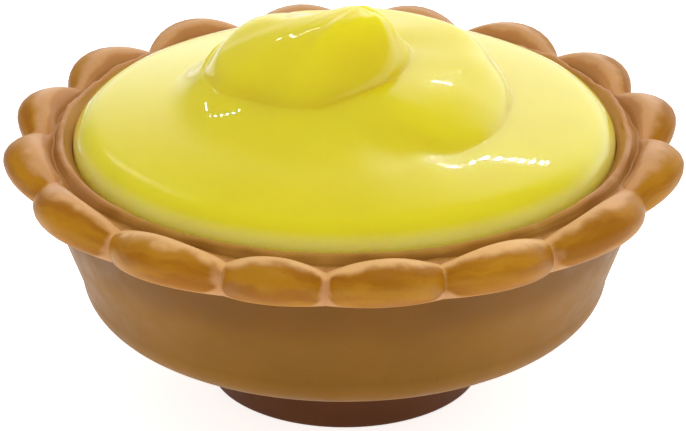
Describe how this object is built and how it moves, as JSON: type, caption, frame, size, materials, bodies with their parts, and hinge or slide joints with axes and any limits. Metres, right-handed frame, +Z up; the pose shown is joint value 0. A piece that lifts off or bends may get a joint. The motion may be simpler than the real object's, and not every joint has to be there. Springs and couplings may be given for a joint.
{
  "type": "nougat cream pie",
  "caption": "Toy cream pie: a smooth yellow cream swirl in a brown crust with a scalloped rim, on a low dark round foot.",
  "frame": {"origin": "on the surface it stands on, under the centre of the round foot", "axes": "+Z up along the axis of the cup and foot; the steep side of the cream mound faces -Y"},
  "size_m": [0.0999, 0.1002, 0.0585],
  "materials": {
    "baked crust": "satin, airbrushed darker on the scallops",
    "dark brown plastic": "satin",
    "yellow cream": "high gloss"
  },
  "bodies": {
    "root": {"crust": "baked crust", "cream": "yellow cream", "foot": "dark brown plastic"}
  },
  "joints": []
}
